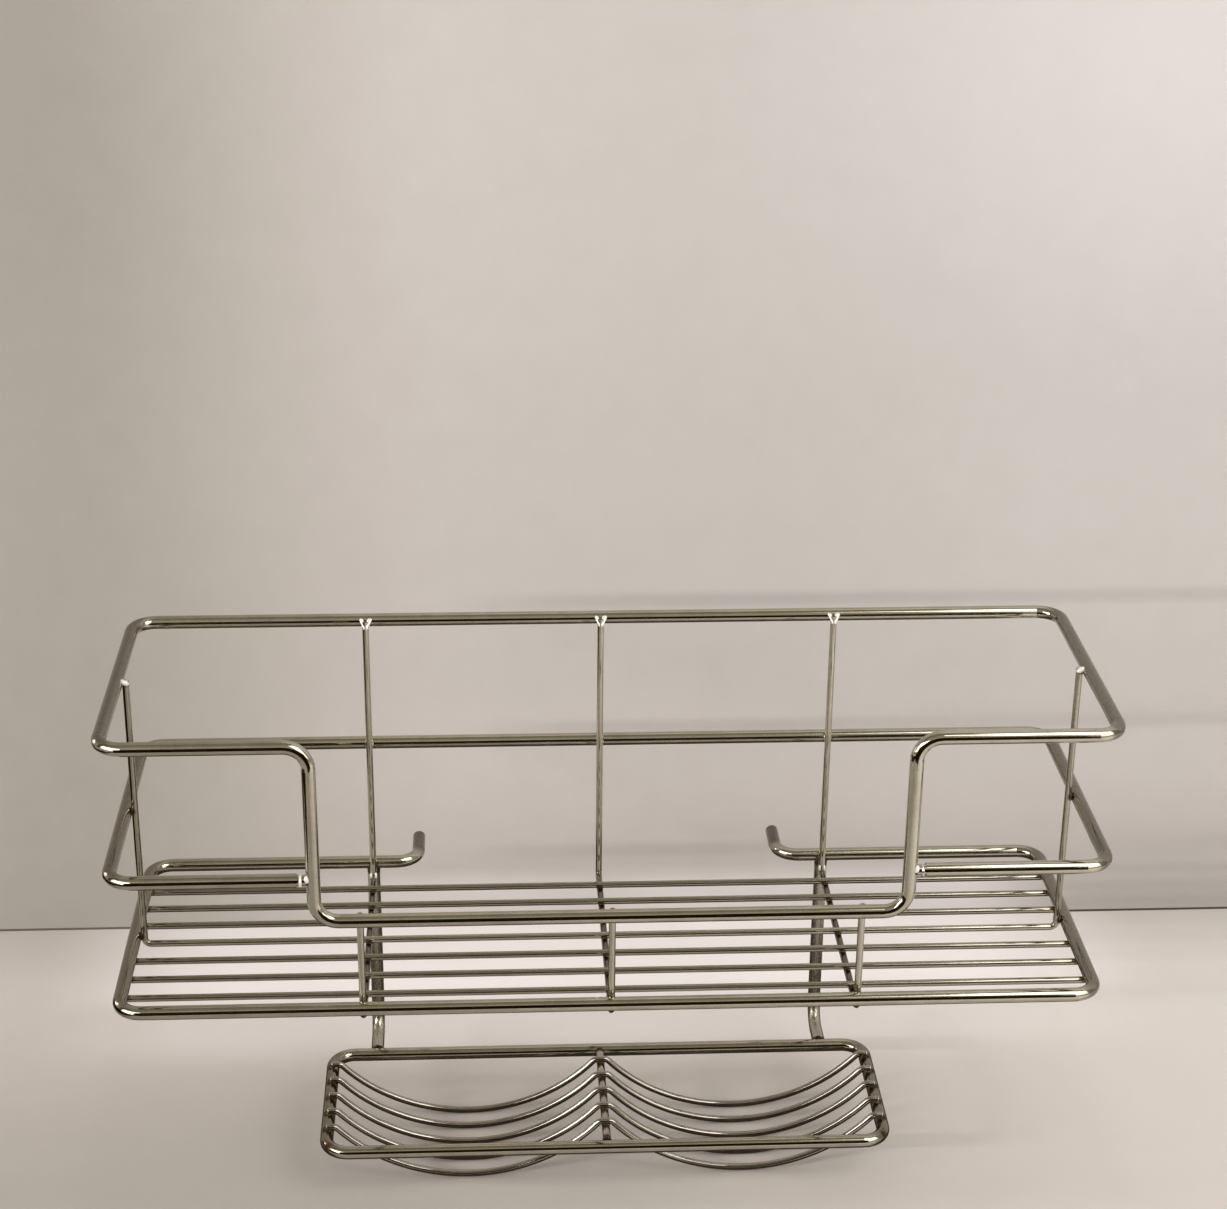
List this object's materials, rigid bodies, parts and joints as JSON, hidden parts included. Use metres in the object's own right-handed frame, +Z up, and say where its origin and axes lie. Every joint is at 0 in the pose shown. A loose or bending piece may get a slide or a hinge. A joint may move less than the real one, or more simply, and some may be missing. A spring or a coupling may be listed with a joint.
{
  "type": "shower caddy",
  "caption": "Wall-hung wire shower caddy: a rectangular basket with a dropped front, and a hanging soap tray of round hollows.",
  "frame": {"origin": "middle of the top rear rail, on the wire's centreline, where the wall hooks hold it", "axes": "+X to the right seen from the front, +Y towards the wall, +Z up; the open front faces -Y"},
  "size_m": [0.355, 0.1285, 0.2028],
  "materials": {
    "frame_steel": "polished stainless steel wire",
    "fine_steel": "polished stainless steel wire, a little duller",
    "wave_steel": "polished stainless steel wire, bent cold"
  },
  "bodies": {
    "root": {"top_rim": "frame_steel", "middle_rail": "frame_steel", "base_frame": "frame_steel", "floor_hoop": "fine_steel", "floor_wire_1": "fine_steel", "floor_wire_2": "fine_steel", "floor_wire_3": "fine_steel", "floor_wire_4": "fine_steel", "floor_wire_5": "fine_steel", "floor_wire_6": "fine_steel", "cross_wire_left": "fine_steel", "cross_wire_middle": "fine_steel", "cross_wire_right": "fine_steel", "hanger_left": "frame_steel", "hanger_right": "frame_steel", "tray_rim": "frame_steel", "tray_spine": "fine_steel", "wave_wire_1": "wave_steel", "wave_wire_2": "wave_steel", "wave_wire_3": "wave_steel", "wave_wire_4": "wave_steel", "wave_wire_5": "wave_steel"}
  },
  "joints": []
}
